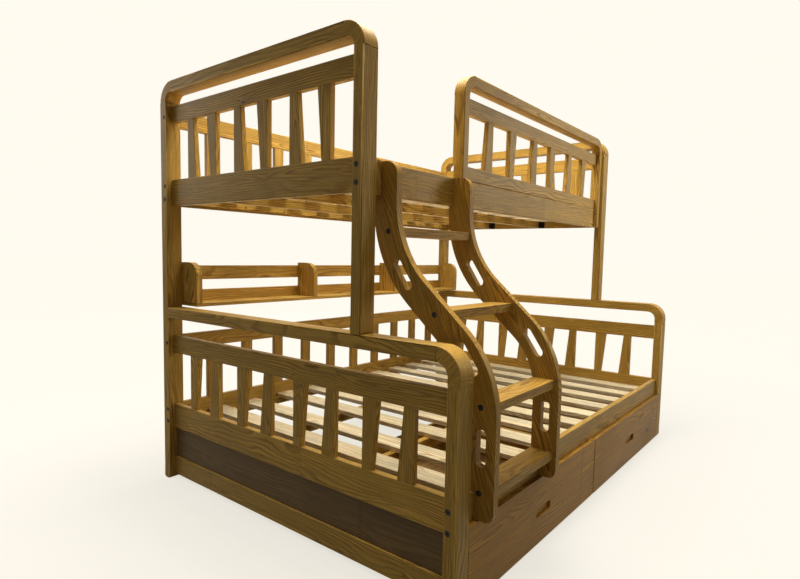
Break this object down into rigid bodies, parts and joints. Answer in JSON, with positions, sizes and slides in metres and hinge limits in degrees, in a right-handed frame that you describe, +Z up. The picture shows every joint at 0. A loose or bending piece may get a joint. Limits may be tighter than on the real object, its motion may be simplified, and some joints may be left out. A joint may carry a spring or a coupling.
{
  "type": "bunk bed",
  "caption": "Wood bunk bed: wide lower bed, narrower upper bed with guard, curved ladder, shelf and two rolling drawers.",
  "frame": {"origin": "on the floor under the middle of the bed's bounding box, ladder included", "axes": "+X along the bed from the ladder's end to the other end, +Y from the ladder side to the rear, +Z up"},
  "size_m": [2.025, 1.483, 1.597],
  "materials": {
    "pine": "clear satin varnish",
    "slat_pine": "planed, thin clear varnish",
    "thin_board": "thin plywood board, clear varnish",
    "dark_steel": "dark blued steel",
    "wheel_plastic": "matte black"
  },
  "bodies": {
    "bed": {"left_lower_rear_post": "pine", "right_lower_rear_post": "pine", "left_lower_front_post": "pine", "right_lower_front_post": "pine", "lower_top_rails": "pine", "lower_corner_blocks": "pine", "lower_mid_rails": "pine", "lower_wide_rails": "pine", "lower_bottom_rails": "pine", "left_upper_rear_post": "pine", "right_upper_rear_post": "pine", "left_upper_front_post": "pine", "right_upper_front_post": "pine", "upper_top_rails": "pine", "upper_corner_blocks": "pine", "upper_mid_rails": "pine", "upper_wide_rails": "pine", "guard_posts": "pine", "guard_top_rail": "pine", "guard_corner_blocks": "pine", "guard_mid_rail": "pine", "guard_board": "pine", "rail_batten": "pine", "upper_front_rail": "pine", "upper_rear_rail": "pine", "lower_front_rail": "pine", "lower_rear_rail": "pine", "rear_guard_rails": "pine", "slat_ledges": "pine", "slat_beams": "pine", "shelf_board": "pine", "shelf_dividers": "pine", "shelf_rails": "pine", "ladder_left_board": "pine", "ladder_right_board": "pine", "ladder_treads": "pine", "lower_end_slats": "slat_pine", "upper_end_slats": "slat_pine", "guard_slats": "slat_pine", "rear_guard_slats": "slat_pine", "upper_bed_slats": "slat_pine", "lower_bed_slats": "slat_pine", "lower_panels": "thin_board", "post_pins": "dark_steel", "bolts": "dark_steel", "barrel_nuts": "dark_steel", "screws": "dark_steel", "beam_brackets": "dark_steel"},
    "left_drawer": {"left_drawer_front": "pine", "left_drawer_box": "slat_pine", "left_drawer_bottom": "thin_board", "left_drawer_brackets": "dark_steel"},
    "left_front_wheels": {"left_drawer_front_wheels": "wheel_plastic"},
    "left_rear_wheels": {"left_drawer_rear_wheels": "wheel_plastic"},
    "right_drawer": {"right_drawer_front": "pine", "right_drawer_box": "slat_pine", "right_drawer_bottom": "thin_board", "right_drawer_brackets": "dark_steel"},
    "right_front_wheels": {"right_drawer_front_wheels": "wheel_plastic"},
    "right_rear_wheels": {"right_drawer_rear_wheels": "wheel_plastic"}
  },
  "joints": [
    {"name": "left_drawer_slide", "type": "slide", "parent": "bed", "child": "left_drawer", "axis": [0, -1, 0], "range_m": [0, 0.6]},
    {"name": "left_front_wheels_roll", "type": "hinge", "parent": "left_drawer", "child": "left_front_wheels", "pos_m": [-0.47475, -0.6345, 0.02], "axis": [1, 0, 0], "range_deg": [0, 1719]},
    {"name": "left_rear_wheels_roll", "type": "hinge", "parent": "left_drawer", "child": "left_rear_wheels", "pos_m": [-0.47475, -0.0895, 0.02], "axis": [1, 0, 0], "range_deg": [0, 1719]},
    {"name": "right_drawer_slide", "type": "slide", "parent": "bed", "child": "right_drawer", "axis": [0, -1, 0], "range_m": [0, 0.6]},
    {"name": "right_front_wheels_roll", "type": "hinge", "parent": "right_drawer", "child": "right_front_wheels", "pos_m": [0.47475, -0.6345, 0.02], "axis": [1, 0, 0], "range_deg": [0, 1719]},
    {"name": "right_rear_wheels_roll", "type": "hinge", "parent": "right_drawer", "child": "right_rear_wheels", "pos_m": [0.47475, -0.0895, 0.02], "axis": [1, 0, 0], "range_deg": [0, 1719]}
  ],
  "couplings": [
    {"joint": "left_front_wheels_roll", "follows": "left_drawer_slide", "rad_per_m": 50},
    {"joint": "left_rear_wheels_roll", "follows": "left_drawer_slide", "rad_per_m": 50},
    {"joint": "right_front_wheels_roll", "follows": "right_drawer_slide", "rad_per_m": 50},
    {"joint": "right_rear_wheels_roll", "follows": "right_drawer_slide", "rad_per_m": 50}
  ]
}
